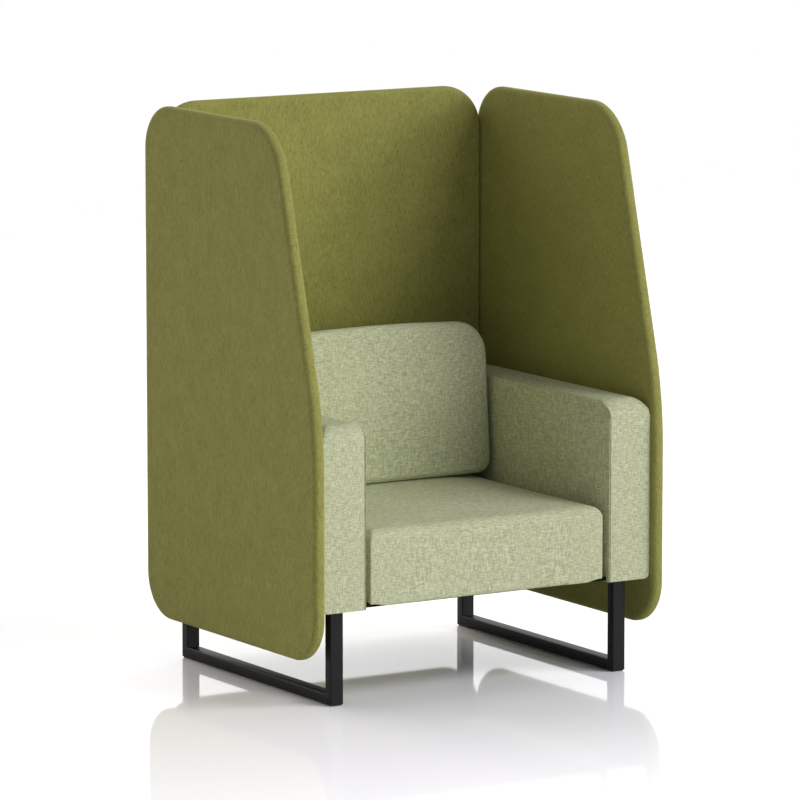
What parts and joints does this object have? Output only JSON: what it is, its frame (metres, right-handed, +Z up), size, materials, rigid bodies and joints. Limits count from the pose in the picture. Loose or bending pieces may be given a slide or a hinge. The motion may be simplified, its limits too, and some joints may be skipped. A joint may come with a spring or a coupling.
{
  "type": "acoustic high back lounge chair",
  "caption": "Upholstered lounge chair with block arms, enclosed on both sides and behind by tall felt acoustic screens with rounded corners, on black rectangular sled legs.",
  "frame": {"origin": "on the floor, midway between the outer faces of the wing screens and midway between the front edges of the wing screens and the rear face of the back screen", "axes": "+X to the right of someone who faces the chair's front, -Y out of the front of the chair, +Z up; left and right in the names are that person's left and right"},
  "size_m": [0.97, 0.8, 1.35],
  "materials": {
    "screen_felt": "melange wool felt, matte",
    "upholstery_weave": "melange woven wool, matte",
    "sled_steel": "satin",
    "frame_timber": "sawn softwood, matte",
    "screen_core": "plywood, matte",
    "base_board": "black stained board, matte",
    "cushion_foam": "matte",
    "seat_webbing": "woven elastic, matte",
    "glide_nylon": "matte",
    "zinc_bolts": "zinc plated, satin"
  },
  "bodies": {
    "root": {"left_front_leg": "sled_steel", "left_rear_leg": "sled_steel", "left_floor_rail": "sled_steel", "left_front_glide": "glide_nylon", "left_rear_glide": "glide_nylon", "left_arm_cover": "upholstery_weave", "left_arm_padding": "cushion_foam", "left_arm_front_post": "frame_timber", "left_arm_rear_post": "frame_timber", "left_arm_top_rail": "frame_timber", "left_arm_bottom_rail": "frame_timber", "left_screen_sleeve": "screen_felt", "left_screen_board": "screen_core", "left_front_screen_bolt": "zinc_bolts", "left_rear_screen_bolt": "zinc_bolts", "left_front_arm_bolt": "zinc_bolts", "left_rear_arm_bolt": "zinc_bolts", "right_front_leg": "sled_steel", "right_rear_leg": "sled_steel", "right_floor_rail": "sled_steel", "right_front_glide": "glide_nylon", "right_rear_glide": "glide_nylon", "right_arm_cover": "upholstery_weave", "right_arm_padding": "cushion_foam", "right_arm_front_post": "frame_timber", "right_arm_rear_post": "frame_timber", "right_arm_top_rail": "frame_timber", "right_arm_bottom_rail": "frame_timber", "right_screen_sleeve": "screen_felt", "right_screen_board": "screen_core", "right_front_screen_bolt": "zinc_bolts", "right_rear_screen_bolt": "zinc_bolts", "right_front_arm_bolt": "zinc_bolts", "right_rear_arm_bolt": "zinc_bolts", "seat_cover": "upholstery_weave", "seat_foam": "cushion_foam", "seat_base_board": "base_board", "seat_front_rail": "frame_timber", "seat_rear_rail": "frame_timber", "seat_left_rail": "frame_timber", "seat_right_rail": "frame_timber", "seat_long_strap_1": "seat_webbing", "seat_cross_strap_1": "seat_webbing", "seat_long_strap_2": "seat_webbing", "seat_cross_strap_2": "seat_webbing", "seat_long_strap_3": "seat_webbing", "seat_cross_strap_3": "seat_webbing", "back_cover": "upholstery_weave", "back_foam": "cushion_foam", "back_top_rail": "frame_timber", "back_bottom_rail": "frame_timber", "back_left_post": "frame_timber", "back_right_post": "frame_timber", "back_strap_1": "seat_webbing", "back_strap_2": "seat_webbing", "back_screen_sleeve": "screen_felt", "back_screen_board": "screen_core", "back_left_screen_bolt": "zinc_bolts", "back_right_screen_bolt": "zinc_bolts"}
  },
  "joints": []
}
